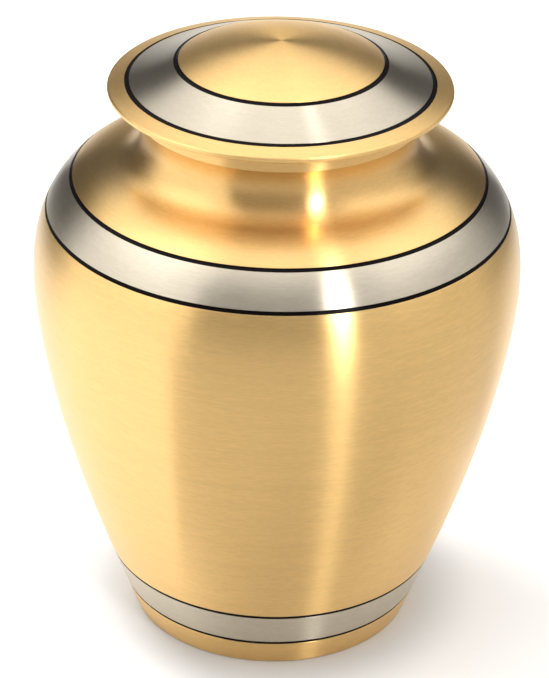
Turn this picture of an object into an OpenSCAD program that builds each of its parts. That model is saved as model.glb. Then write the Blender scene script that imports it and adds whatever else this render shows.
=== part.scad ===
// Cremation urn: a turned brass vessel with a lift-off domed lid, three
// pewter-coloured bands and six black enamel lines.
// Millimetres, +Z up, origin at the centre of the underside.

/* [Body] */
// Radius at the belly, the widest place
belly_r = 90.4; // [74:0.1:110]
// Height of the belly above the underside
belly_z = 141; // [115:1:170]
// Radius where the straight foot ends and the belly curve begins
foot_top_r = 63.7; // [52:0.1:72]
// Height of the straight foot
foot_h = 28; // [28:0.5:40]
// How the wall curves in below the belly: 2 is a parabola, 1 a cone
belly_curve = 1.55; // [1.3:0.05:2]
// Thickness of the vessel's wall
wall = 2; // [1.6:0.1:3]
// Thickness of the floor
floor_t = 2.5; // [2:0.1:4]
// Width of the ring that the urn stands on
stand_w = 7; // [4:0.5:10]
// Depth of the hollow inside that ring
dish_d = 0.8; // [0.4:0.1:1.2]

/* [Shoulder and neck] */
// Height from the belly to the level top of the shoulder curve
shoulder_h = 46; // [38:0.5:56]
// Radius at which the shoulder curve would come level
shoulder_top_r = 53.1; // [44:0.1:60]
// How square the shoulder is: 2 is an ellipse
shoulder_square = 2.3; // [2:0.1:3]
// Radius of the neck at its narrowest
neck_r = 50; // [44:0.1:60]
// Radius of the hollow curve of the neck
neck_curve_r = 12; // [9:0.5:14]
// Height from the narrowest place up to the lip
neck_rise = 15.2; // [13:0.1:19]
// Height of the collar round the lip
collar_h = 8.4; // [5:0.1:10]
// How far the collar stands out past the neck curve
collar_out = 0.6; // [0.3:0.1:1.2]
// Thickness of metal at the narrowest place
neck_wall = 3; // [2.4:0.1:4]

/* [Lid] */
// Radius of the rim
rim_r = 62.5; // [60:0.1:76]
// Height of the rim's upright edge
rim_edge_h = 1.9; // [1.2:0.1:3]
// Outer radius of the pewter band on the lid
lid_band_outer_r = 54.6; // [48:0.1:56]
// Height of the band's outer edge above the lip
lid_band_low_h = 3.9; // [3.4:0.1:5]
// Inner radius of the pewter band on the lid
lid_band_inner_r = 38.7; // [32:0.1:44]
// Height of the band's inner edge above the lip
lid_band_high_h = 10.6; // [8.8:0.1:12.8]
// How far the band dips between its edges
lid_band_dip = 0.35; // [0:0.05:0.6]
// Height of the dome above its edge
dome_h = 7.5; // [6:0.1:9.5]
// Thickness of the lid's metal
lid_wall = 2; // [1.6:0.1:2.6]
// Gap between the spigot and the mouth, all round
spigot_clear = 0.5; // [0.3:0.05:0.8]
// Thickness of the spigot
spigot_t = 2; // [1.5:0.1:3]
// How far the spigot reaches down into the mouth
spigot_h = 10; // [6:0.5:12]

/* [Bands and lines] */
// Height of the lower edge of the pewter band on the foot
foot_band_low = 12.2; // [10:0.1:13]
// Height of the upper edge of the pewter band on the foot
foot_band_high = 26; // [20:0.1:26]
// Height from the belly to the lower edge of the shoulder band
shoulder_band_low = 27.4; // [22:0.1:30]
// Height from the belly to the upper edge of the shoulder band
shoulder_band_high = 38.2; // [33.5:0.1:41]
// Depth of the recess that holds a band
band_t = 0.6; // [0.3:0.1:0.9]
// Width of a black line on the body
line_w = 1.5; // [1:0.1:2]
// Width of a black line on the lid
lid_line_w = 1.7; // [1:0.1:2.2]
// Depth of the groove that holds a line
groove_d = 0.8; // [0.5:0.1:1]
// How far the enamel lies below the metal beside it
line_sink = 0.15; // [0:0.05:0.3]

/* [Hidden] */
$fn = 128;

edge = 0.4;                     // small bevel on turned edges
step_d = 0.05;                  // reach of the slope measurement
brass_colour = "goldenrod";
pewter_colour = "silver";
enamel_colour = "black";

// ---- profile of the vessel -------------------------------------------------

// Below the belly the radius falls by a power of the distance.
foot_slope = belly_curve * (belly_r - foot_top_r) / (belly_z - foot_h);
function lower_r(z) =
    z < foot_h
    ? foot_top_r - foot_slope * (foot_h - z)
    : belly_r - (belly_r - foot_top_r)
        * pow((belly_z - z) / (belly_z - foot_h), belly_curve);

// Above it the shoulder is a quarter of a squared ellipse, from the belly
// (turn 0) to its level top (turn 90).
function shoulder_at(turn) = [
    shoulder_top_r + (belly_r - shoulder_top_r) * pow(cos(turn), 2 / shoulder_square),
    belly_z + shoulder_h * pow(sin(turn), 2 / shoulder_square)
];
function shoulder_turn(z) = asin(pow((z - belly_z) / shoulder_h, shoulder_square / 2));

function skin(z) = z <= belly_z ? [lower_r(z), z] : shoulder_at(shoulder_turn(z));

// Outward normal from the direction in which the profile climbs.
function outward(climb) = [climb[1], -climb[0]] / norm(climb);
function skin_out(z) = outward(skin(z + step_d) - skin(z - step_d));
function shoulder_out(turn) = outward(shoulder_at(turn + step_d) - shoulder_at(turn - step_d));

// Points from z0 to z1, set in from the surface by depth.
function skin_points(z0, z1, depth, count) = [
    for (i = [0 : count])
        let (z = z0 + (z1 - z0) * i / count)
        skin(z) - depth * skin_out(z)
];

// The neck is a hollow arc that leaves the shoulder without a corner. Its
// start is found by halving, so that the arc's narrowest place is neck_r.
function neck_centre(turn) = shoulder_at(turn) + neck_curve_r * shoulder_out(turn);
function find_join(low, high, left) =
    let (middle = (low + high) / 2)
    left == 0 ? middle
    : neck_centre(middle)[0] - neck_curve_r > neck_r
    ? find_join(middle, high, left - 1)
    : find_join(low, middle, left - 1);

join_turn = find_join(shoulder_turn(belly_z + shoulder_band_high), 89, 40);
join_z = shoulder_at(join_turn)[1];
neck_mid = neck_centre(join_turn);
join_out = shoulder_out(join_turn);
join_angle = atan2(-join_out[1], -join_out[0]) + 360;   // seen from the arc's centre
neck_z = neck_mid[1];
lip_z = neck_z + neck_rise;
collar_z = lip_z - collar_h;
collar_angle = 180 - asin((collar_z - neck_z) / neck_curve_r);
collar_r = neck_mid[0] + neck_curve_r * cos(collar_angle) + collar_out;
mouth_r = neck_r - neck_wall;

function neck_points(from, to, reach0, reach1, count) = [
    for (i = [0 : count])
        let (a = from + (to - from) * i / count, reach = reach0 + (reach1 - reach0) * i / count)
        neck_mid + reach * [cos(a), sin(a)]
];

// Heights where each recess begins and ends. A line is line_w wide along the
// surface, so its height is less where the surface leans.
function up_by(z, width) = z + width * skin_out(z)[0];
foot_line_low_z = up_by(foot_band_low, -line_w);
foot_line_high_z = up_by(foot_band_high, line_w);
shoulder_low_z = belly_z + shoulder_band_low;
shoulder_high_z = belly_z + shoulder_band_high;
shoulder_line_low_z = up_by(shoulder_low_z, -line_w);
shoulder_line_high_z = up_by(shoulder_high_z, line_w);

few = 3;        // steps along a line
some = 8;       // steps along a band
many = 22;      // steps along the long curves

foot_r = lower_r(0);
dish_r = foot_r - stand_w;
inner_floor_z = dish_d + floor_t;

module body_outline() {
    polygon(concat(
        [[0, dish_d], [dish_r, dish_d], [dish_r + dish_d, 0], [foot_r - edge, 0], skin(edge)],
        [skin(foot_line_low_z)],
        skin_points(foot_line_low_z, foot_band_low, groove_d, few),
        skin_points(foot_band_low, foot_band_high, band_t, some),
        skin_points(foot_band_high, foot_line_high_z, groove_d, few),
        skin_points(foot_line_high_z, belly_z, 0, many),
        skin_points(belly_z + step_d, shoulder_line_low_z, 0, some),
        skin_points(shoulder_line_low_z, shoulder_low_z, groove_d, few),
        skin_points(shoulder_low_z, shoulder_high_z, band_t, some),
        skin_points(shoulder_high_z, shoulder_line_high_z, groove_d, few),
        let (first = shoulder_turn(shoulder_line_high_z))
            [for (i = [0 : some - 1]) shoulder_at(first + (join_turn - first) * i / some)],
        neck_points(join_angle, collar_angle, neck_curve_r, neck_curve_r, some * 2),
        [[collar_r - edge, collar_z], [collar_r, collar_z + edge]],
        [[collar_r, lip_z - edge], [collar_r - edge, lip_z]],
        [[mouth_r + edge, lip_z], [mouth_r, lip_z - edge]],
        neck_points(180, join_angle, neck_curve_r + neck_wall, neck_curve_r + wall, some),
        let (last = shoulder_turn(belly_z + 1))
            [for (i = [1 : some * 2])
                let (turn = join_turn + (last - join_turn) * i / (some * 2))
                shoulder_at(turn) - wall * shoulder_out(turn)],
        skin_points(belly_z - step_d, foot_h, wall, many),
        [skin(inner_floor_z + edge) - wall * skin_out(inner_floor_z + edge)],
        [[lower_r(inner_floor_z) - wall - edge, inner_floor_z], [0, inner_floor_z]]
    ));
}

// ---- profile of the lid, in heights above the lip --------------------------

lid_line_outer_r = lid_band_outer_r + lid_line_w;
dome_r = lid_band_inner_r - lid_line_w;
band_fall = (lid_band_high_h - lid_band_low_h) / (lid_band_outer_r - lid_band_inner_r);
dome_edge_h = lid_band_high_h + lid_line_w * band_fall;
dome_ball_r = (dome_r * dome_r + dome_h * dome_h) / (2 * dome_h);
rim_fall = (lid_band_low_h - rim_edge_h) / (rim_r - lid_band_outer_r);
lid_h = dome_edge_h + dome_h;

// The top is a dome, then a fall in line with the band, the dished band
// itself, and the sloping rim.
function lid_height(r) =
    r <= dome_r ? lid_h - dome_ball_r + sqrt(dome_ball_r * dome_ball_r - r * r)
    : r < lid_band_inner_r ? dome_edge_h - (r - dome_r) * band_fall
    : r <= lid_band_outer_r
    ? let (u = (r - lid_band_inner_r) / (lid_band_outer_r - lid_band_inner_r))
        lid_band_high_h + (lid_band_low_h - lid_band_high_h) * u - 4 * lid_band_dip * u * (1 - u)
    : lid_band_low_h - (r - lid_band_outer_r) * rim_fall;

function lid_top(r) = [r, lip_z + lid_height(r)];
// Points along the lid's top from r0 to r1, lowered by depth.
function lid_points(r0, r1, depth, count) = [
    for (i = [0 : count])
        lid_top(r0 + (r1 - r0) * i / count) - [0, depth]
];

spigot_r = mouth_r - spigot_clear;
hollow_r = spigot_r - spigot_t;
shell = lid_wall / cos(atan(band_fall));    // upright thickness of the sloping metal

module lid_outline() {
    polygon(concat(
        lid_points(0, hollow_r, shell, many),
        [[hollow_r, lip_z - spigot_h], [spigot_r - edge, lip_z - spigot_h]],
        [[spigot_r, lip_z - spigot_h + edge], [spigot_r, lip_z]],
        [[rim_r - edge, lip_z], [rim_r, lip_z + edge]],
        [[rim_r, lip_z + rim_edge_h - edge], lid_top(rim_r - edge)],
        [lid_top(lid_line_outer_r)],
        lid_points(lid_line_outer_r, lid_band_outer_r, groove_d, few),
        lid_points(lid_band_outer_r, lid_band_inner_r, band_t, some),
        lid_points(lid_band_inner_r, dome_r, groove_d, few),
        lid_points(dome_r, 0, 0, many)
    ));
}

// ---- bands and lines -------------------------------------------------------

// A ring let into the body, from depth up to sink below the surface.
module body_ring(z0, z1, depth, sink, count) {
    rotate_extrude()
        polygon(concat(
            skin_points(z0, z1, sink, count),
            skin_points(z1, z0, depth, count)
        ));
}

// The same on the lid, between two radii.
module lid_ring(r0, r1, depth, sink, count) {
    rotate_extrude()
        polygon(concat(
            lid_points(r0, r1, depth, count),
            lid_points(r1, r0, sink, count)
        ));
}

module body() {
    color(brass_colour) rotate_extrude() body_outline();
}

module lid() {
    color(brass_colour) rotate_extrude() lid_outline();
}

module foot_band() {
    color(pewter_colour) body_ring(foot_band_low, foot_band_high, band_t, 0, some);
}

module shoulder_band() {
    color(pewter_colour) body_ring(shoulder_low_z, shoulder_high_z, band_t, 0, some);
}

module lid_band() {
    color(pewter_colour) lid_ring(lid_band_inner_r, lid_band_outer_r, band_t, 0, some);
}

module foot_line_lower() {
    color(enamel_colour) body_ring(foot_line_low_z, foot_band_low, groove_d, line_sink, few);
}

module foot_line_upper() {
    color(enamel_colour) body_ring(foot_band_high, foot_line_high_z, groove_d, line_sink, few);
}

module shoulder_line_lower() {
    color(enamel_colour) body_ring(shoulder_line_low_z, shoulder_low_z, groove_d, line_sink, few);
}

module shoulder_line_upper() {
    color(enamel_colour) body_ring(shoulder_high_z, shoulder_line_high_z, groove_d, line_sink, few);
}

module lid_line_outer() {
    color(enamel_colour) lid_ring(lid_band_outer_r, lid_line_outer_r, groove_d, line_sink, few);
}

module lid_line_inner() {
    color(enamel_colour) lid_ring(dome_r, lid_band_inner_r, groove_d, line_sink, few);
}

body();
foot_band();
shoulder_band();
foot_line_lower();
foot_line_upper();
shoulder_line_lower();
shoulder_line_upper();
lid();
lid_band();
lid_line_outer();
lid_line_inner();
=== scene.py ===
"""Cremation urn: turned and brushed brass, with pewter-coloured bands and black enamel lines.

Every piece is a turned form: a profile in a half plane, carried round the upright axis. The sizes below
are those of the solids, in metres, and the lip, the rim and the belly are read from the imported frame.
"""
import logging
import math
from abc import ABC, abstractmethod
from dataclasses import dataclass, field, replace
from enum import Enum
from typing import ClassVar

import bpy
import numpy as np
from mathutils import Matrix, Vector

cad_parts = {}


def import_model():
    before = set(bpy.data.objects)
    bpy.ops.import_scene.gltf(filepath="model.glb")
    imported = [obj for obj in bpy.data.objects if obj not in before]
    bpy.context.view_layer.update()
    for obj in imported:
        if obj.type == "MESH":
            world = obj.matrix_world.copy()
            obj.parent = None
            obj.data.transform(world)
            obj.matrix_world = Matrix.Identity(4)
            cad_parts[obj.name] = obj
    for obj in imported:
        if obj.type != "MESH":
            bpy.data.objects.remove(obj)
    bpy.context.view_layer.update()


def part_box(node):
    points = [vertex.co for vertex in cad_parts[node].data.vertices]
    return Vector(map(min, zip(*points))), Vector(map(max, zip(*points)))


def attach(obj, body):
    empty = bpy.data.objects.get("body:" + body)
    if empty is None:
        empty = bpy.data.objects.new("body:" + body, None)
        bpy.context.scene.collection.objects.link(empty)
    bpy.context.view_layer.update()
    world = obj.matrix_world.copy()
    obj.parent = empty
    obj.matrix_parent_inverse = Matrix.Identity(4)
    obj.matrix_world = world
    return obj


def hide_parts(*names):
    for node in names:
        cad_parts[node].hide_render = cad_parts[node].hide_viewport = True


LOG = logging.getLogger("urn")
MM = 0.001
PROFILE_UV = "Turning"

# The rounding of corners: how far it may cut back on the shells and on the rings, how much of the shorter
# side it may take, how much further out the flat beside it is held, and where along its curve the points lie.
SHELL_ROUND = 0.12 * MM
RING_ROUND = 0.08 * MM
ROUND_SHARE = 0.3
ROUND_HOLD = 1.5
ROUND_PLACES = (0, 0.25, 0.5, 0.75, 1)

# The steps of a profile across the groove of a line, and across a band or the face of any ring.
GROOVE_STEPS = 3
BAND_STEPS = 12

# The least length that a vector is divided by, and the radius under which a point lies on the axis.
LEAST_LENGTH = 1e-12
ON_AXIS = 1e-9

# How far apart two points are from which a slope is taken, along the height and along the shoulder's angle.
SLOPE_STEP = 0.05 * MM
TURN_STEP = 1e-4

# The search for the neck's start: how often it halves, and the steepest angle that it looks at.
HALVINGS = 40
STEEPEST_DEG = 89


class Slot(Enum):
    """The record's material slots."""

    BRASS = "brass"
    PEWTER = "pewter"
    ENAMEL = "enamel"


# ---------------------------------------------------------------------------------------------------------
# Meshes
# ---------------------------------------------------------------------------------------------------------


def unit(vectors: np.ndarray) -> np.ndarray:
    """Scales each row to length one.

    Args:
        vectors: rows of vectors.

    Returns:
        The same directions, each divided by its own length.
    """
    return vectors / np.maximum(np.linalg.norm(vectors, axis=-1, keepdims=True), LEAST_LENGTH)


def without_repeats(points: np.ndarray, least: float = 1e-7) -> np.ndarray:
    """Drops each point that lies on the one before it.

    Args:
        points: a polyline, one row a point.
        least: the distance under which two points count as one.

    Returns:
        The polyline without its repeats.
    """
    step = np.linalg.norm(np.diff(points, axis=0), axis=1)
    return points[np.concatenate([[True], step > least])]


def soften(points: np.ndarray, reach: float, closed: bool, sharp_deg: float = 24.0) -> np.ndarray:
    """Rounds the corners of a profile.

    Each corner C that turns by more than sharp_deg becomes the curve (1-t)^2 A + 2t(1-t) C + t^2 B, where A
    and B lie a short cut before and after it. One more point on each side holds the flat beside the curve.

    Args:
        points: the profile, as rows of radius and height.
        reach: how far the rounding may cut back from a corner.
        closed: whether the last point is joined to the first.
        sharp_deg: the least turn that counts as a corner.

    Returns:
        The profile with its corners rounded.
    """
    before, after = np.roll(points, 1, axis=0), np.roll(points, -1, axis=0)
    back, ahead = before - points, after - points
    back_length, ahead_length = (np.linalg.norm(side, axis=1) for side in (back, ahead))
    cosine = np.sum(unit(-back) * unit(ahead), axis=1)
    corner = np.degrees(np.arccos(np.clip(cosine, -1, 1))) > sharp_deg
    if not closed:
        corner[[0, -1]] = False
    shorter = np.minimum(back_length, ahead_length)
    cut = np.where(corner, np.minimum(reach, ROUND_SHARE * shorter), 0.0)[:, None]
    hold = cut * ROUND_HOLD
    start, end = points + unit(back) * cut, points + unit(ahead) * cut
    curve = [(1 - t) ** 2 * start + 2 * t * (1 - t) * points + t**2 * end for t in ROUND_PLACES]
    rows = [points + unit(back) * hold, *curve, points + unit(ahead) * hold]
    return without_repeats(np.stack(rows, axis=1).reshape(-1, 2))


def joined(parts: list) -> np.ndarray:
    """Puts points and runs of points, in order, into one profile of radius and height."""
    return np.vstack([np.asarray(part, dtype=float).reshape(-1, 2) for part in parts])


@dataclass(frozen=True)
class Turning:
    """Carries a profile round the Z axis and makes it a mesh.

    A point of the surface is (r cos a, r sin a, z): (r, z) runs along the profile and a goes once round.

    Attributes:
        around: how many steps go round the axis.
    """

    around: int = 192

    def grid(self, profile: np.ndarray) -> np.ndarray:
        """Works out the points of the turned surface.

        Args:
            profile: rows of radius and height.

        Returns:
            An array of profile points by steps round by 3.
        """
        angle = np.arange(self.around) * 2 * np.pi / self.around
        radius, height = profile[:, 0, None], profile[:, 1, None]
        parts = (radius * np.cos(angle), radius * np.sin(angle), height + 0 * angle)
        return np.stack(parts, axis=-1)

    def solid(self, name: str, profile: np.ndarray) -> bpy.types.Object:
        """Makes a closed turned mesh from a profile that runs anticlockwise round its metal.

        A profile that starts and ends on the axis is closed by a point at each end, and any other is a ring.

        Args:
            name: the piece's name.
            profile: rows of radius and height.

        Returns:
            The new object, at the origin.
        """
        on_axis = profile[0, 0] < ON_AXIS
        travelled = np.concatenate([[0], np.cumsum(np.linalg.norm(np.diff(profile, axis=0), axis=1))])
        rows = np.arange(1, len(profile) - 1) if on_axis else np.arange(len(profile))
        along = travelled[rows]
        vertices = self.grid(profile[rows]).reshape(-1, 3)
        count, step = len(rows), np.arange(self.around)
        row = np.arange(count - 1 if on_axis else count)[:, None]
        following, beside = (row + 1) % count, (step + 1) % self.around
        here, there = row * self.around, following * self.around
        quads = np.stack([here + step, here + beside, there + beside, there + step], axis=-1)
        low = along[row] + 0 * step
        closing = travelled[-1] + np.linalg.norm(profile[-1] - profile[0])
        high = np.where(following > row, along[following], closing) + 0 * step
        left, right = 0 * low + step / self.around, 0 * low + (step + 1) / self.around
        corners = ((low, left), (low, right), (high, right), (high, left))
        quad_uv = np.stack([np.stack(pair, -1) for pair in corners], axis=2)
        faces, uv = quads.reshape(-1, 4).tolist(), quad_uv.reshape(-1, 2)
        if on_axis:
            first, last = len(vertices), len(vertices) + 1
            vertices = np.vstack([vertices, [[0, 0, profile[0, 1]], [0, 0, profile[-1, 1]]]])
            top = (count - 1) * self.around
            begin = np.stack([0 * step + first, beside, step], axis=-1)
            finish = np.stack([0 * step + last, top + step, top + beside], axis=-1)
            faces += begin.tolist() + finish.tolist()
            below = self.fan_uv(travelled[0], along[0], True)
            above = self.fan_uv(travelled[-1], along[-1], False)
            uv = np.vstack([uv, below, above])
        return new_object(name, vertices, faces, uv)

    def fan_uv(self, centre: float, edge: float, backwards: bool) -> np.ndarray:
        """Works out the UV of the triangles round a point on the axis.

        Args:
            centre: how far along the profile the point is.
            edge: how far along it the fan's rim is.
            backwards: whether each triangle's rim runs against the angle.

        Returns:
            Three UV rows a triangle.
        """
        left = np.arange(self.around) / self.around
        right = left + 1 / self.around
        second, third = (right, left) if backwards else (left, right)
        rim = edge + 0 * left
        corners = ((centre + 0 * left, (left + right) / 2), (rim, second), (rim, third))
        return np.stack([np.stack(pair, -1) for pair in corners], axis=1).reshape(-1, 2)


def new_object(name: str, vertices: np.ndarray, faces: list, uv: np.ndarray) -> bpy.types.Object:
    """Puts arrays into a smooth mesh and links its object.

    Args:
        name: the object's name.
        vertices: rows of X, Y and Z in metres.
        faces: lists of vertex numbers.
        uv: one row for each corner of each face, in order.

    Returns:
        The new object, at the origin.
    """
    mesh = bpy.data.meshes.new(name)
    mesh.from_pydata(vertices.tolist(), [], faces)
    layer = mesh.uv_layers.new(name=PROFILE_UV)
    layer.data.foreach_set("uv", np.ascontiguousarray(uv, dtype=np.float32).ravel())
    mesh.shade_smooth()
    mesh.update()
    piece = bpy.data.objects.new(name, mesh)
    bpy.context.scene.collection.objects.link(piece)
    return piece


# ---------------------------------------------------------------------------------------------------------
# Finishes
# ---------------------------------------------------------------------------------------------------------


class NodeSheet:
    """Adds shader nodes to one tree with short calls."""

    def __init__(self, tree: bpy.types.NodeTree) -> None:
        """Keeps the tree that the nodes go into."""
        self.tree = tree

    def add(self, kind: str, **settings: object) -> bpy.types.Node:
        """Adds a node.

        Args:
            kind: the node's type name.
            **settings: properties to set on it.

        Returns:
            The node.
        """
        node = self.tree.nodes.new(kind)
        for key, value in settings.items():
            setattr(node, key, value)
        return node

    def feed(self, socket: bpy.types.NodeSocket, value: object) -> None:
        """Links an output to a socket, or sets the socket to a plain value."""
        if isinstance(value, bpy.types.NodeSocket):
            self.tree.links.new(value, socket)
        else:
            socket.default_value = value

    def operate(self, kind: str, operation: str, values: tuple) -> bpy.types.NodeSocket:
        """Adds a node that works on its inputs in their order, and returns its first output."""
        node = self.add(kind, operation=operation)
        for socket, value in zip(node.inputs, values):
            self.feed(socket, value)
        return node.outputs[0]

    def math(self, operation: str, *values: object) -> bpy.types.NodeSocket:
        """Adds a Math node and returns its result."""
        return self.operate("ShaderNodeMath", operation, values)

    def vector(self, operation: str, *values: object) -> bpy.types.NodeSocket:
        """Adds a Vector Math node and returns its vector."""
        return self.operate("ShaderNodeVectorMath", operation, values)

    def smooth(
        self, value: object, start: float, end: float, low: float, high: float
    ) -> bpy.types.NodeSocket:
        """Adds a smooth step from low at start to high at end, and returns its result."""
        node = self.add("ShaderNodeMapRange", interpolation_type="SMOOTHSTEP")
        for socket, number in zip(node.inputs, (value, start, end, low, high)):
            self.feed(socket, number)
        return node.outputs[0]

    def split(self, vector: bpy.types.NodeSocket) -> list[bpy.types.NodeSocket]:
        """Adds a Separate XYZ node and returns its three outputs."""
        node = self.add("ShaderNodeSeparateXYZ")
        self.feed(node.inputs[0], vector)
        return list(node.outputs)

    def azimuth(self, across: bpy.types.NodeSocket, depth: bpy.types.NodeSocket) -> bpy.types.NodeSocket:
        """Adds the angle from the camera's side (-Y) towards +X, and returns it in degrees."""
        return self.math("DEGREES", self.math("ARCTAN2", across, self.math("MULTIPLY", depth, -1.0)))


def new_material(name: str) -> tuple[bpy.types.Material, NodeSheet, bpy.types.Node]:
    """Makes a material that holds one Principled shader.

    Args:
        name: the material's name.

    Returns:
        The material, its nodes, and the shader.
    """
    material = bpy.data.materials.new(name)
    material.use_nodes = True
    material.node_tree.nodes.clear()
    sheet = NodeSheet(material.node_tree)
    shader = sheet.add("ShaderNodeBsdfPrincipled")
    output = sheet.add("ShaderNodeOutputMaterial")
    sheet.feed(output.inputs["Surface"], shader.outputs[0])
    return material, sheet, shader


# Each kind of brush line: its width over that of the finest, how often it changes on its way round, and its
# share in the mix. Then the detail and roughness of their noise.
BRUSH_LINES = ((1.0, 26.0, 0.5), (2.6, 9.0, 0.3), (12.0, 1.5, 0.2))
BRUSH_DETAIL = 1.0
BRUSH_ROUGHNESS = 0.65
# The stretch of that mix over which the colour changes, and the one over which the roughness does.
COLOUR_STEP = (0.3, 0.7)
ROUGHNESS_STEP = (0.38, 0.62)
# The sockets of a Mix node that mixes colours.
MIX_FACTOR, MIX_FIRST, MIX_SECOND, MIX_RESULT = 0, 6, 7, 2
# The waves in the enamel: how many to a metre, their detail, and the stretch of them over which it wears.
WAVE_SCALE = 2200.0
WAVE_DETAIL = 2.0
WEAR_STEP = (0.35, 0.7)


@dataclass(frozen=True)
class BrushedMetal:
    """Metal brushed round the axis on a lathe, so that lights smear along the profile.

    Attributes:
        name: the material's name.
        colour: the colour of the bare metal.
        edge_tint: the colour that the metal takes towards a grazing view.
        roughness: the mean roughness.
        anisotropy: how much more the light spreads across the brush lines than along them.
        uneven: how much the brush lines vary the roughness.
        line_pitch: the width of the finest brush lines, in metres.
        line_depth: the depth of the brush lines, in metres.
        lacquer: the weight of the clear coat.
        lacquer_roughness: the roughness of the clear coat.
        shading: how much more the brush lines vary the colour than the roughness.
    """

    name: str
    colour: tuple[float, float, float]
    edge_tint: tuple[float, float, float]
    roughness: float
    anisotropy: float
    uneven: float
    line_pitch: float
    line_depth: float
    lacquer: float
    lacquer_roughness: float = 0.25
    shading: float = 3.0

    def streaks(self, sheet: NodeSheet, pitch: float, arcs: float) -> bpy.types.NodeSocket:
        """Adds noise drawn out round the axis.

        The noise reads (arcs x, arcs y) of the direction from the axis, and the distance along the profile
        over the pitch, so that it closes on itself and has no seam.

        Args:
            sheet: the nodes of the material.
            pitch: the width of a streak along the profile, in metres.
            arcs: how often a streak changes on its way round.

        Returns:
            The noise, from 0 to 1.
        """
        place = sheet.add("ShaderNodeTexCoord").outputs["Object"]
        level = sheet.vector("MULTIPLY", place, (1.0, 1.0, 0.0))
        spoke = sheet.vector("SCALE", sheet.vector("NORMALIZE", level))
        spoke.node.inputs["Scale"].default_value = arcs
        along = sheet.split(sheet.add("ShaderNodeUVMap", uv_map=PROFILE_UV).outputs[0])[0]
        rise = sheet.add("ShaderNodeCombineXYZ")
        sheet.feed(rise.inputs[2], sheet.math("DIVIDE", along, pitch))
        noise = sheet.add("ShaderNodeTexNoise", noise_dimensions="3D")
        sheet.feed(noise.inputs["Vector"], sheet.vector("ADD", spoke, rise.outputs[0]))
        sheet.feed(noise.inputs["Scale"], 1.0)
        sheet.feed(noise.inputs["Detail"], BRUSH_DETAIL)
        sheet.feed(noise.inputs["Roughness"], BRUSH_ROUGHNESS)
        return noise.outputs["Fac"]

    def build(self) -> bpy.types.Material:
        """Makes the material.

        Returns:
            The new material.
        """
        material, sheet, shader = new_material(self.name)
        first, second, third = (
            sheet.math("MULTIPLY", self.streaks(sheet, self.line_pitch * width, arcs), share)
            for width, arcs, share in BRUSH_LINES
        )
        mixed = sheet.math("ADD", sheet.math("ADD", first, second), third)
        tint = sheet.add("ShaderNodeMix", data_type="RGBA")
        shade = tuple(part * (1 - self.uneven * self.shading) for part in self.colour)
        sheet.feed(tint.inputs[MIX_FACTOR], sheet.smooth(mixed, *COLOUR_STEP, 0, 1))
        sheet.feed(tint.inputs[MIX_FIRST], (*shade, 1.0))
        sheet.feed(tint.inputs[MIX_SECOND], (*self.colour, 1.0))
        sheet.feed(shader.inputs["Base Color"], tint.outputs[MIX_RESULT])
        low, high = self.roughness * (1 - self.uneven), self.roughness * (1 + self.uneven)
        sheet.feed(shader.inputs["Roughness"], sheet.smooth(mixed, *ROUGHNESS_STEP, low, high))
        bump = sheet.add("ShaderNodeBump")
        sheet.feed(bump.inputs["Strength"], 1.0)
        sheet.feed(bump.inputs["Distance"], self.line_depth)
        sheet.feed(bump.inputs["Height"], mixed)
        sheet.feed(shader.inputs["Normal"], bump.outputs[0])
        tangent = sheet.add("ShaderNodeTangent", direction_type="UV_MAP", uv_map=PROFILE_UV)
        sheet.feed(shader.inputs["Tangent"], tangent.outputs[0])
        sheet.feed(shader.inputs["Metallic"], 1.0)
        sheet.feed(shader.inputs["Anisotropic"], self.anisotropy)
        sheet.feed(shader.inputs["Specular Tint"], (*self.edge_tint, 1.0))
        sheet.feed(shader.inputs["Coat Weight"], self.lacquer)
        sheet.feed(shader.inputs["Coat Roughness"], self.lacquer_roughness)
        return material


@dataclass(frozen=True)
class Enamel:
    """Hard gloss enamel, flowed into a groove.

    Attributes:
        name: the material's name.
        colour: the enamel's colour.
        roughness: the mean roughness.
        ripple: the depth of the waves in its surface, in metres.
        wear: the least and greatest roughness, as shares of the mean.
        shine: the specular level.
    """

    name: str
    colour: tuple[float, float, float]
    roughness: float
    ripple: float
    wear: tuple[float, float] = (0.8, 1.4)
    shine: float = 0.04

    def build(self) -> bpy.types.Material:
        """Makes the material.

        Returns:
            The new material.
        """
        material, sheet, shader = new_material(self.name)
        place = sheet.add("ShaderNodeTexCoord").outputs["Object"]
        waves = sheet.add("ShaderNodeTexNoise")
        sheet.feed(waves.inputs["Vector"], place)
        sheet.feed(waves.inputs["Scale"], WAVE_SCALE)
        sheet.feed(waves.inputs["Detail"], WAVE_DETAIL)
        bump = sheet.add("ShaderNodeBump")
        sheet.feed(bump.inputs["Distance"], self.ripple)
        sheet.feed(bump.inputs["Height"], waves.outputs["Fac"])
        sheet.feed(shader.inputs["Normal"], bump.outputs[0])
        low, high = (self.roughness * share for share in self.wear)
        sheet.feed(shader.inputs["Roughness"], sheet.smooth(waves.outputs["Fac"], *WEAR_STEP, low, high))
        sheet.feed(shader.inputs["Base Color"], (*self.colour, 1.0))
        sheet.feed(shader.inputs["Specular IOR Level"], self.shine)
        return material


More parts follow.
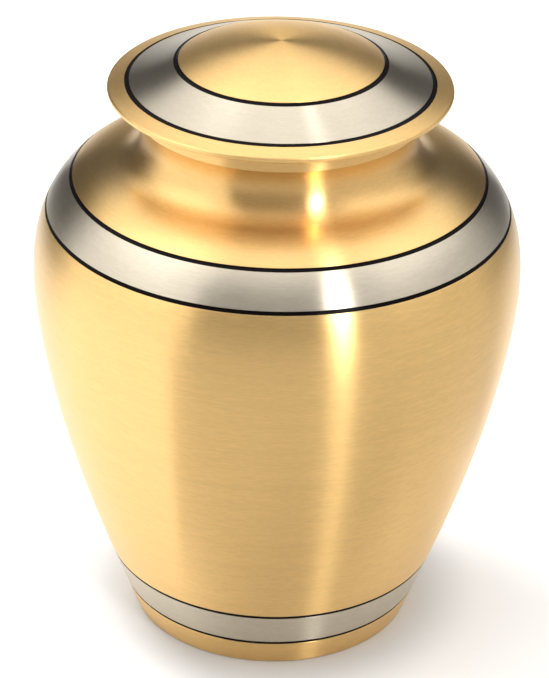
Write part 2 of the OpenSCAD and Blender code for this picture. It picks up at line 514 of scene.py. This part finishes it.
FINISHES = {
    Slot.BRASS: BrushedMetal(
        name="brushed_brass", colour=(0.87, 0.565, 0.215), edge_tint=(1.0, 0.96, 0.88), roughness=0.305,
        anisotropy=1.0, uneven=0.04, line_pitch=0.00036, line_depth=0.0000003, lacquer=0.35,
    ),
    Slot.PEWTER: BrushedMetal(
        name="brushed_pewter", colour=(0.60, 0.53, 0.415), edge_tint=(1.0, 0.99, 0.96), roughness=0.305,
        anisotropy=1.0, uneven=0.04, line_pitch=0.00036, line_depth=0.0000003, lacquer=0.35,
    ),
    Slot.ENAMEL: Enamel(name="black_enamel", colour=(0.004, 0.003, 0.003), roughness=0.14, ripple=0.00005),
}
OWN_FINISHES = {
    "lid": replace(FINISHES[Slot.BRASS], name="brushed_brass_lid", roughness=0.40, anisotropy=0.72),
}


# ---------------------------------------------------------------------------------------------------------
# The vessel
# ---------------------------------------------------------------------------------------------------------


@dataclass(frozen=True)
class Stretch:
    """A stretch of a profile that holds a band or a line.

    Attributes:
        name: the ring's node and piece name.
        start: where the stretch begins, as a height on the vessel or a radius on the lid.
        end: where it ends.
        depth: the depth of the recess.
        sink: how far the ring's face lies below the metal beside it.
        hollow: how far the middle of the ring's face dips below its edges.
        slot: the ring's finish.
    """

    name: str
    start: float
    end: float
    depth: float
    sink: float
    hollow: float
    slot: Slot


@dataclass(kw_only=True)
class TurnedPart(ABC):
    """A brass shell with bands and lines let into its outside.

    Attributes:
        node: the node that the shell stands for.
        lip_z: the height of the vessel's lip.
        wall: the shell's thickness.
        band_t: the thickness of a band.
        groove_d: the depth of a line's groove.
        line_sink: how far a line's face lies below the metal beside it.
        line_hollow: how far the middle of a line's face dips below its edges.
        edge: the width of the chamfers.
        turning: how sections are carried round.
    """

    node: ClassVar[str]
    lip_z: float
    wall: float = 2 * MM
    band_t: float = 0.6 * MM
    groove_d: float = 0.8 * MM
    line_sink: float = 0.15 * MM
    line_hollow: float = 0.12 * MM
    edge: float = 0.4 * MM
    turning: Turning = field(default_factory=Turning)

    @abstractmethod
    def surface(self, start: float, end: float, depth: object, count: int) -> np.ndarray:
        """Gives points of the outside from start to end, set in by a depth or by an array of depths."""

    @abstractmethod
    def rings(self) -> list[Stretch]:
        """Lists the bands and lines in the order in which the outline meets them."""

    @abstractmethod
    def outline(self) -> np.ndarray:
        """Gives the whole section of the shell, as rows of radius and height."""

    def line(self, name: str, start: float, end: float) -> Stretch:
        """Describes an enamel line."""
        return Stretch(name, start, end, self.groove_d, self.line_sink, self.line_hollow, Slot.ENAMEL)

    def band(self, name: str, start: float, end: float) -> Stretch:
        """Describes a pewter-coloured band, flush with the brass."""
        return Stretch(name, start, end, self.band_t, 0.0, 0.0, Slot.PEWTER)

    def recess(self, ring: Stretch) -> np.ndarray:
        """Gives the shell's surface where a ring is let into it."""
        steps = GROOVE_STEPS if ring.slot is Slot.ENAMEL else BAND_STEPS
        return self.surface(ring.start, ring.end, ring.depth, steps)

    def ring_section(self, ring: Stretch) -> np.ndarray:
        """Gives the closed section of a band or line: its face one way, and its back the other."""
        share = np.linspace(0, 1, BAND_STEPS + 1)
        depth = ring.sink + ring.hollow * 4 * share * (1 - share)
        face = self.surface(ring.start, ring.end, depth, BAND_STEPS)
        return np.vstack([face, self.surface(ring.end, ring.start, ring.depth, BAND_STEPS)])

    def make(self) -> list[bpy.types.Object]:
        """Makes the shell and its rings.

        Returns:
            The new pieces.
        """
        shell = self.turning.solid("brass_" + self.node, soften(self.outline(), SHELL_ROUND, False))
        pieces = [dress(shell, self.node, Slot.BRASS)]
        for ring in self.rings():
            section = soften(self.ring_section(ring), RING_ROUND, True)
            pieces.append(dress(self.turning.solid(ring.name + "_ring", section), ring.name, ring.slot))
        return pieces


@dataclass(kw_only=True)
class Vessel(TurnedPart):
    """The hollow body with its foot, belly, shoulder, neck and collar.

    Attributes are the sizes of the solid, in metres, and how many steps or points its profile has. The
    belly's radius and the lip's height come from the frame.
    """

    node: ClassVar[str] = "body"
    belly_r: float
    belly_z: float = 141 * MM
    foot_top_r: float = 63.7 * MM
    foot_h: float = 28 * MM
    belly_curve: float = 1.55
    floor_t: float = 2.5 * MM
    stand_w: float = 7 * MM
    dish_d: float = 0.8 * MM
    shoulder_h: float = 46 * MM
    shoulder_top_r: float = 53.1 * MM
    shoulder_square: float = 2.3
    neck_r: float = 50 * MM
    neck_curve_r: float = 12 * MM
    collar_h: float = 8.4 * MM
    collar_out: float = 0.6 * MM
    neck_wall: float = 3 * MM
    foot_band: tuple[float, float] = (12.2 * MM, 26 * MM)
    shoulder_band: tuple[float, float] = (168.4 * MM, 179.2 * MM)
    line_w: float = 1.5 * MM
    foot_steps: int = 12
    belly_steps: int = 64
    shoulder_steps: int = 28
    upper_points: int = 16
    neck_points: int = 36
    inner_neck_points: int = 16
    inner_shoulder_points: int = 26
    inner_belly_steps: int = 36

    def shoulder_turn(self, height: np.ndarray) -> np.ndarray:
        """Gives the angle of the shoulder curve at a height, from 0 at the belly to a quarter turn."""
        share = np.clip((height - self.belly_z) / self.shoulder_h, 0, 1)
        return np.arcsin(share ** (self.shoulder_square / 2))

    def shoulder_at(self, turn: np.ndarray) -> np.ndarray:
        """Gives the shoulder's points: a quarter of the squared ellipse (cos t, sin t)^(2/square)."""
        power = 2 / self.shoulder_square
        across = np.clip(np.cos(turn), 0, 1) ** power
        up = np.clip(np.sin(turn), 0, 1) ** power
        radius = self.shoulder_top_r + (self.belly_r - self.shoulder_top_r) * across
        return np.stack([radius, self.belly_z + self.shoulder_h * up], axis=-1)

    def skin(self, height: np.ndarray) -> np.ndarray:
        """Gives the outer surface at each height.

        Below the belly the radius falls by a power of the distance, down to the foot, which is a straight
        cone that carries on the same slope. Above it comes the squared ellipse of the shoulder.

        Args:
            height: heights up to the shoulder's top.

        Returns:
            Rows of radius and height.
        """
        span, fall = self.belly_z - self.foot_h, self.belly_r - self.foot_top_r
        cone = self.foot_top_r - self.belly_curve * fall / span * (self.foot_h - height)
        curve = self.belly_r - fall * (np.clip(self.belly_z - height, 0, None) / span) ** self.belly_curve
        lower = np.where(height < self.foot_h, cone, curve)
        upper = self.shoulder_at(self.shoulder_turn(height))[..., 0]
        return np.stack([np.where(height <= self.belly_z, lower, upper), height], axis=-1)

    def outward(self, height: np.ndarray) -> np.ndarray:
        """Gives the outward normal: the direction of the climb, turned a quarter clockwise."""
        climb = self.skin(height + SLOPE_STEP) - self.skin(height - SLOPE_STEP)
        return unit(np.stack([climb[..., 1], -climb[..., 0]], axis=-1))

    def surface(self, start: float, end: float, depth: object, count: int) -> np.ndarray:
        """Gives points of the skin from one height to another, set in by a depth or by an array of depths."""
        height = np.linspace(start, end, count + 1)
        return self.skin(height) - np.reshape(depth, (-1, 1)) * self.outward(height)

    def up_by(self, height: float, width: float) -> float:
        """Gives the height that lies a width further along the leaning surface."""
        return height + width * float(self.outward(np.array(height))[0])

    def shoulder_out(self, turn: float) -> np.ndarray:
        """Gives the shoulder's outward normal at an angle of its curve."""
        climb = self.shoulder_at(np.array(turn + TURN_STEP)) - self.shoulder_at(np.array(turn - TURN_STEP))
        return unit(np.array([climb[1], -climb[0]]))

    def join(self) -> tuple[float, np.ndarray]:
        """Finds where the hollow arc of the neck leaves the shoulder, by halving.

        Returns:
            The angle on the shoulder curve, and the arc's centre.
        """
        low, high = float(self.shoulder_turn(np.array(self.shoulder_band[1]))), math.radians(STEEPEST_DEG)
        for _ in range(HALVINGS):
            middle = (low + high) / 2
            centre = self.shoulder_at(np.array(middle)) + self.neck_curve_r * self.shoulder_out(middle)
            low, high = (middle, high) if centre[0] - self.neck_curve_r > self.neck_r else (low, middle)
        return middle, centre

    def rings(self) -> list[Stretch]:
        """Lists the bands and lines from the foot upwards."""
        (foot_low, foot_high), (low, high) = self.foot_band, self.shoulder_band
        return [
            self.line("foot_line_lower", self.up_by(foot_low, -self.line_w), foot_low),
            self.band("foot_band", foot_low, foot_high),
            self.line("foot_line_upper", foot_high, self.up_by(foot_high, self.line_w)),
            self.line("shoulder_line_lower", self.up_by(low, -self.line_w), low),
            self.band("shoulder_band", low, high),
            self.line("shoulder_line_upper", high, self.up_by(high, self.line_w)),
        ]

    def neck_arc(self, centre: np.ndarray, angles: np.ndarray, reach: object) -> np.ndarray:
        """Gives points on an arc about a centre, at a reach that may change along it."""
        return centre + np.reshape(reach, (-1, 1)) * np.stack([np.cos(angles), np.sin(angles)], axis=-1)

    def outline(self) -> np.ndarray:
        """Gives the whole section of the metal: underside, outside, lip and inside.

        Returns:
            Rows of radius and height, from the axis below to the axis inside.
        """
        foot_r = float(self.skin(np.array(0.0))[0])
        dish_r, floor_z = foot_r - self.stand_w, self.dish_d + self.floor_t
        rings = self.rings()
        foot_rings, shoulder_rings = rings[:3], rings[3:]
        turn, centre = self.join()
        out = self.shoulder_out(turn)
        start = math.atan2(-out[1], -out[0]) % (2 * math.pi)
        collar_z = self.lip_z - self.collar_h
        finish = math.pi - math.asin((collar_z - centre[1]) / self.neck_curve_r)
        collar_r = centre[0] + self.neck_curve_r * math.cos(finish) + self.collar_out
        mouth_r, edge, count = self.neck_r - self.neck_wall, self.edge, self.inner_neck_points
        above_rings = float(self.shoulder_turn(np.array(shoulder_rings[-1].end)))
        above_belly = float(self.shoulder_turn(np.array(self.belly_z + MM)))
        inner_turn = np.linspace(turn, above_belly, self.inner_shoulder_points)[1:]
        inner = [self.shoulder_at(np.array(a)) - self.wall * self.shoulder_out(a) for a in inner_turn]
        inner_low = self.skin(np.array(floor_z + edge)) - self.wall * self.outward(np.array(floor_z + edge))
        rows = [
            [[0, self.dish_d], [dish_r, self.dish_d], [dish_r + self.dish_d, 0], [foot_r - edge, 0]],
            self.surface(edge, foot_rings[0].start, 0, self.foot_steps),
            *(self.recess(ring) for ring in foot_rings),
            self.surface(foot_rings[-1].end, self.belly_z, 0, self.belly_steps),
            self.surface(self.belly_z, shoulder_rings[0].start, 0, self.shoulder_steps)[1:],
            *(self.recess(ring) for ring in shoulder_rings),
            self.shoulder_at(np.linspace(above_rings, turn, self.upper_points)[:-1]),
            self.neck_arc(centre, np.linspace(start, finish, self.neck_points), self.neck_curve_r),
            [[collar_r - edge, collar_z], [collar_r, collar_z + edge]],
            [[collar_r, self.lip_z - edge], [collar_r - edge, self.lip_z]],
            [[mouth_r + edge, self.lip_z], [mouth_r, self.lip_z - edge]],
            self.neck_arc(
                centre, np.linspace(math.pi, start, count),
                np.linspace(self.neck_curve_r + self.neck_wall, self.neck_curve_r + self.wall, count),
            ),
            inner,
            self.surface(self.belly_z, self.foot_h, self.wall, self.inner_belly_steps),
            [inner_low, [float(inner_low[0]) - edge, floor_z], [0, floor_z]],
        ]
        return joined(rows)


# ---------------------------------------------------------------------------------------------------------
# The lid
# ---------------------------------------------------------------------------------------------------------


@dataclass(kw_only=True)
class Lid(TurnedPart):
    """The domed lid that rests on the lip, with its spigot in the mouth.

    Heights are above the lip. The rim's radius and the lip's height come from the frame. The last
    attributes say how many steps the profile has.
    """

    node: ClassVar[str] = "lid"
    rim_r: float
    mouth_r: float
    rim_edge_h: float = 1.9 * MM
    band_outer_r: float = 54.6 * MM
    band_low_h: float = 3.9 * MM
    band_inner_r: float = 38.7 * MM
    band_high_h: float = 10.6 * MM
    band_dip: float = 0.35 * MM
    dome_h: float = 7.5 * MM
    spigot_clear: float = 0.5 * MM
    spigot_t: float = 2 * MM
    spigot_h: float = 10 * MM
    line_w: float = 1.7 * MM
    hollow_steps: int = 40
    rim_steps: int = 12
    dome_steps: int = 48

    @property
    def band_fall(self) -> float:
        """How far the band falls for each metre outwards."""
        return (self.band_high_h - self.band_low_h) / (self.band_outer_r - self.band_inner_r)

    def height(self, radius: np.ndarray) -> np.ndarray:
        """Gives the lid's top: a ball's cap, a short fall, the dished band, and the sloping rim.

        Args:
            radius: distances from the axis.

        Returns:
            Heights above the lip.
        """
        fall = self.band_fall
        dome_r = self.band_inner_r - self.line_w
        dome_edge_h = self.band_high_h + self.line_w * fall
        ball_r = (dome_r**2 + self.dome_h**2) / (2 * self.dome_h)
        cap = dome_edge_h + self.dome_h - ball_r + np.sqrt(ball_r**2 - np.minimum(radius, dome_r) ** 2)
        share = (radius - self.band_inner_r) / (self.band_outer_r - self.band_inner_r)
        band = self.band_high_h + (self.band_low_h - self.band_high_h) * share
        band = band - 4 * self.band_dip * share * (1 - share)
        rim_fall = (self.band_low_h - self.rim_edge_h) / (self.rim_r - self.band_outer_r)
        rim = self.band_low_h - (radius - self.band_outer_r) * rim_fall
        places = [radius <= dome_r, radius < self.band_inner_r, radius <= self.band_outer_r]
        return np.select(places, [cap, dome_edge_h - (radius - dome_r) * fall, band], rim)

    def surface(self, start: float, end: float, depth: object, count: int) -> np.ndarray:
        """Gives points along the top between two radii, lowered by a depth or by an array of depths."""
        radius = np.linspace(start, end, count + 1)
        return np.stack([radius, self.lip_z + self.height(radius) - depth], axis=-1)

    def rings(self) -> list[Stretch]:
        """Lists the lid's lines and band from the rim inwards."""
        outer, inner = self.band_outer_r, self.band_inner_r
        return [
            self.line("lid_line_outer", outer + self.line_w, outer),
            self.band("lid_band", outer, inner),
            self.line("lid_line_inner", inner, inner - self.line_w),
        ]

    def outline(self) -> np.ndarray:
        """Gives the whole section of the lid: hollow, spigot, seat, rim and top.

        Returns:
            Rows of radius and height, from the axis below to the axis above.
        """
        shell = self.wall * math.hypot(1, self.band_fall)
        spigot_r = self.mouth_r - self.spigot_clear
        hollow_r, foot_z, edge = spigot_r - self.spigot_t, self.lip_z - self.spigot_h, self.edge
        rings = self.rings()
        rim_side = self.lip_z + self.rim_edge_h - edge
        rows = [
            self.surface(0, hollow_r, shell, self.hollow_steps),
            [[hollow_r, foot_z], [spigot_r - edge, foot_z]],
            [[spigot_r, foot_z + edge], [spigot_r, self.lip_z]],
            [[self.rim_r - edge, self.lip_z], [self.rim_r, self.lip_z + edge], [self.rim_r, rim_side]],
            self.surface(self.rim_r - edge, rings[0].start, 0, self.rim_steps),
            *(self.recess(ring) for ring in rings),
            self.surface(rings[-1].end, 0, 0, self.dome_steps),
        ]
        return joined(rows)


def dress(piece: bpy.types.Object, node: str, slot: Slot) -> bpy.types.Object:
    """Gives a piece its finish, and lets it stand for a node of the frame.

    Args:
        piece: the new piece.
        node: the node that it replaces.
        slot: its slot, whose finish it takes unless the node has one of its own.

    Returns:
        The same piece.
    """
    finish = OWN_FINISHES.get(node, FINISHES[slot])
    material = bpy.data.materials.get(finish.name) or finish.build()
    piece.data.materials.append(material)
    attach(piece, "root")
    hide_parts(node)
    return piece


# ---------------------------------------------------------------------------------------------------------
# The studio
# ---------------------------------------------------------------------------------------------------------


@dataclass(frozen=True)
class Card:
    """A soft panel of light round the object, as seen from it.

    Azimuth is measured from the camera's side (-Y) towards +X, and elevation from the horizon, both in
    degrees. The panel's brightness is the product of four smooth steps, one at each of its sides.

    Attributes:
        start: the azimuth at which it starts.
        end: the azimuth at which it ends.
        low: the elevation of its lower side.
        high: the elevation of its upper side.
        strength: its brightness.
        soft_start: the width of the step at the start.
        soft_end: the width of the step at the end.
        soft_up: the height of the steps at the lower and upper sides.
    """

    start: float
    end: float
    low: float
    high: float
    strength: float
    soft_start: float = 4.0
    soft_end: float = 4.0
    soft_up: float = 14.0


class FloorStep(Enum):
    """The smooth steps in the floor's painted shade and painted glow: where each starts and ends, and its
    value at both.

    Turns are in degrees from the camera's side towards +X, and distances in metres from the object's axis.
    """

    LEFT_SIDE = (-46, -40, 0, 1)
    RIGHT_SIDE = (105, 135, 1, 0)
    IN_FRONT = (-0.10, -0.06, 1, 0)
    FURTHER_OUT = (0.13, 0.20, 0, 1)
    BESIDE = (95, 120, 0, 1)
    BEHIND = (153, 161, 1, 0)
    DISTANT = (0.45, 0.90, 0, 0.85)
    # Painted contact shadow round the object's foot.
    PAINTED_CONTACT_SHADOW = (0.050, 0.085, 0.68, 1)
    # Painted glow: fades in away from the object's foot.
    GLOW = (0.052, 0.14, 0, 1)


@dataclass
class Studio:
    """A pale floor with painted shade and a painted glow, soft panels of light all round, and the camera."""

    base: float = 0.15
    cards: tuple[Card, ...] = (
        Card(-118, -39, -20, 70, 1.45, soft_start=30),
        Card(-39, 25, -20, 90, 0.20),
        Card(27.5, 35, 12, 44, 27.0, soft_start=3, soft_end=3),
        Card(38, 130, -20, 60, 0.74, soft_end=30),
        Card(-60, 60, 60, 120, 1.80, soft_start=30, soft_end=30, soft_up=24),
        Card(-181, -60, 32, 120, 1.60, soft_end=30, soft_up=14),
        Card(60, 181, 32, 120, 1.60, soft_start=30, soft_up=14),
        Card(-181, 181, 60, 120, 0.80, soft_up=30),
        Card(-181, -160, -20, 6, 1.00, soft_end=12, soft_up=10),
        Card(160, 181, -20, 6, 1.00, soft_start=12, soft_up=10),
    )
    floor_colour: float = 0.76
    floor_radius: float = 5.0
    # The strength of the floor's painted glow.
    floor_painted_glow: float = 0.05
    # How much painted shade darkens the floor in front of the object and on its right.
    floor_painted_shade: float = 0.38
    floor_corners: int = 64
    key_energy: float = 9.0
    key_size: float = 0.5
    key_place: tuple[float, float, float] = (-0.55, 0.5, 0.9)
    camera_place: tuple[float, float, float] = (0.0, -0.96415, 0.64724)
    camera_tilt: float = 29.1085
    camera_pan: float = -0.0233
    camera_roll: float = 1.1745
    camera_lens: float = 155.363
    camera_reach: float = 50.0
    sensor_width: float = 36.0

    def world(self) -> None:
        """Makes the light that surrounds the object: a base level and the sum of the cards."""
        world = bpy.data.worlds.new("studio")
        world.use_nodes = True
        world.node_tree.nodes.clear()
        sheet = NodeSheet(world.node_tree)
        across, depth, up = sheet.split(sheet.add("ShaderNodeTexCoord").outputs["Generated"])
        turn = sheet.azimuth(across, depth)
        rise = sheet.math("DEGREES", sheet.math("ARCSINE", up))
        total: object = self.base
        for card in self.cards:
            steps = (
                (turn, card.start, card.soft_start, 0.0), (turn, card.end, card.soft_end, 1.0),
                (rise, card.low, card.soft_up, 0.0), (rise, card.high, card.soft_up, 1.0),
            )
            light: object = card.strength
            for value, place, soft, first in steps:
                step = sheet.smooth(value, place - soft / 2, place + soft / 2, first, 1.0 - first)
                light = sheet.math("MULTIPLY", step, light)
            total = sheet.math("ADD", total, light)
        glow = sheet.add("ShaderNodeBackground")
        sheet.feed(glow.inputs["Strength"], total)
        output = sheet.add("ShaderNodeOutputWorld")
        sheet.feed(output.inputs["Surface"], glow.outputs[0])
        bpy.context.scene.world = world

    def floor(self) -> None:
        """Makes the floor, a wide disc."""
        angle = np.linspace(0, 2 * np.pi, self.floor_corners, endpoint=False)
        rim = np.stack([np.cos(angle), np.sin(angle), 0 * angle], axis=-1) * self.floor_radius
        mesh = bpy.data.meshes.new("floor")
        mesh.from_pydata(rim.tolist(), [], [list(range(len(rim)))])
        disc = bpy.data.objects.new("floor", mesh)
        bpy.context.scene.collection.objects.link(disc)
        mesh.materials.append(self.board())

    def board(self) -> bpy.types.Material:
        """Makes the floor's material: pale matt board with a painted glow that stands in for light falling on
        it.

        Painted shade makes it darker in front of the object and on its right, far off at both sides, and
        where the object stands, as a painted contact shadow.

        Returns:
            The new material.
        """
        material, sheet, shader = new_material("pale_board")
        across, depth, _ = sheet.split(sheet.add("ShaderNodeTexCoord").outputs["Object"])
        turn = sheet.azimuth(across, depth)
        around = sheet.math("ABSOLUTE", turn)
        squares = (sheet.math("POWER", part, 2.0) for part in (across, depth))
        reach = sheet.math("SQRT", sheet.math("ADD", *squares))

        def step(value: bpy.types.NodeSocket, place: FloorStep) -> bpy.types.NodeSocket:
            return sheet.smooth(value, *place.value)

        # Painted shade: darkens the board in front of the object and on its right, so the brass reflects a
        # darker floor.
        side = sheet.math("MULTIPLY", step(turn, FloorStep.LEFT_SIDE), step(turn, FloorStep.RIGHT_SIDE))
        either = sheet.math("MAXIMUM", step(depth, FloorStep.IN_FRONT), step(reach, FloorStep.FURTHER_OUT))
        away = sheet.math("MULTIPLY", side, either)
        shade = sheet.math("SUBTRACT", 1.0, sheet.math("MULTIPLY", away, self.floor_painted_shade))
        # Painted shade far off at both sides.
        beside = sheet.math("MULTIPLY", step(around, FloorStep.BESIDE), step(around, FloorStep.BEHIND))
        distant = sheet.math("MULTIPLY", beside, step(reach, FloorStep.DISTANT))
        shade = sheet.math("MULTIPLY", shade, sheet.math("SUBTRACT", 1.0, distant))
        # Painted contact shadow where the object stands.
        shade = sheet.math("MULTIPLY", shade, step(reach, FloorStep.PAINTED_CONTACT_SHADOW))
        # Painted glow: emission that stands in for light on the board, weaker near the foot.
        painted_emission = sheet.math("MULTIPLY", step(reach, FloorStep.GLOW), self.floor_painted_glow)
        colour = sheet.add("ShaderNodeCombineColor")
        for socket in colour.inputs:
            sheet.feed(socket, sheet.math("MULTIPLY", shade, self.floor_colour))
        sheet.feed(shader.inputs["Base Color"], colour.outputs[0])
        sheet.feed(shader.inputs["Roughness"], 0.9)
        sheet.feed(shader.inputs["Specular IOR Level"], 0.0)
        sheet.feed(shader.inputs["Emission Color"], (1.0, 1.0, 1.0, 1.0))
        sheet.feed(shader.inputs["Emission Strength"], sheet.math("MULTIPLY", shade, painted_emission))
        return material

    def key(self) -> None:
        """Makes the one lamp that gives the soft shadow: a square panel high up at the back left."""
        data = bpy.data.lights.new("key", "AREA")
        data.energy, data.size = self.key_energy, self.key_size
        lamp = bpy.data.objects.new("key", data)
        place = Vector(self.key_place)
        lamp.matrix_world = Matrix.Translation(place) @ (-place).to_track_quat("-Z", "Y").to_matrix().to_4x4()
        lamp.visible_camera = lamp.visible_glossy = False
        bpy.context.scene.collection.objects.link(lamp)

    def camera(self) -> None:
        """Makes the camera, from its place, its tilt below the horizon, its pan and its roll."""
        tilt, pan, roll = (math.radians(v) for v in (self.camera_tilt, self.camera_pan, self.camera_roll))
        ahead = Vector((math.sin(pan) * math.cos(tilt), math.cos(pan) * math.cos(tilt), -math.sin(tilt)))
        right = Vector((math.cos(pan), -math.sin(pan), 0))
        up = right.cross(ahead)
        rolled = right * math.cos(roll) + up * math.sin(roll)
        axes = Matrix((rolled, rolled.cross(ahead), -ahead)).transposed()
        data = bpy.data.cameras.new("camera")
        data.lens, data.sensor_width, data.clip_end = self.camera_lens, self.sensor_width, self.camera_reach
        camera = bpy.data.objects.new("camera", data)
        camera.matrix_world = Matrix.Translation(self.camera_place) @ axes.to_4x4()
        bpy.context.scene.collection.objects.link(camera)
        bpy.context.scene.camera = camera

    def make(self) -> None:
        """Makes the floor, the lights and the camera."""
        self.world()
        self.floor()
        self.key()
        self.camera()
        view = bpy.context.scene.view_settings
        view.view_transform, view.look = "Standard", "None"


def main() -> None:
    """Builds the urn on its frame, and the studio round it."""
    logging.basicConfig(level=logging.INFO, format="%(name)s: %(message)s")
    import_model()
    body_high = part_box("body")[1]
    vessel = Vessel(belly_r=body_high[0], lip_z=body_high[2])
    lid = Lid(lip_z=vessel.lip_z, rim_r=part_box("lid")[1][0], mouth_r=vessel.neck_r - vessel.neck_wall)
    for piece in vessel.make() + lid.make():
        LOG.info("%s: %d faces", piece.name, len(piece.data.polygons))
    Studio().make()


if __name__ == "__main__":
    main()
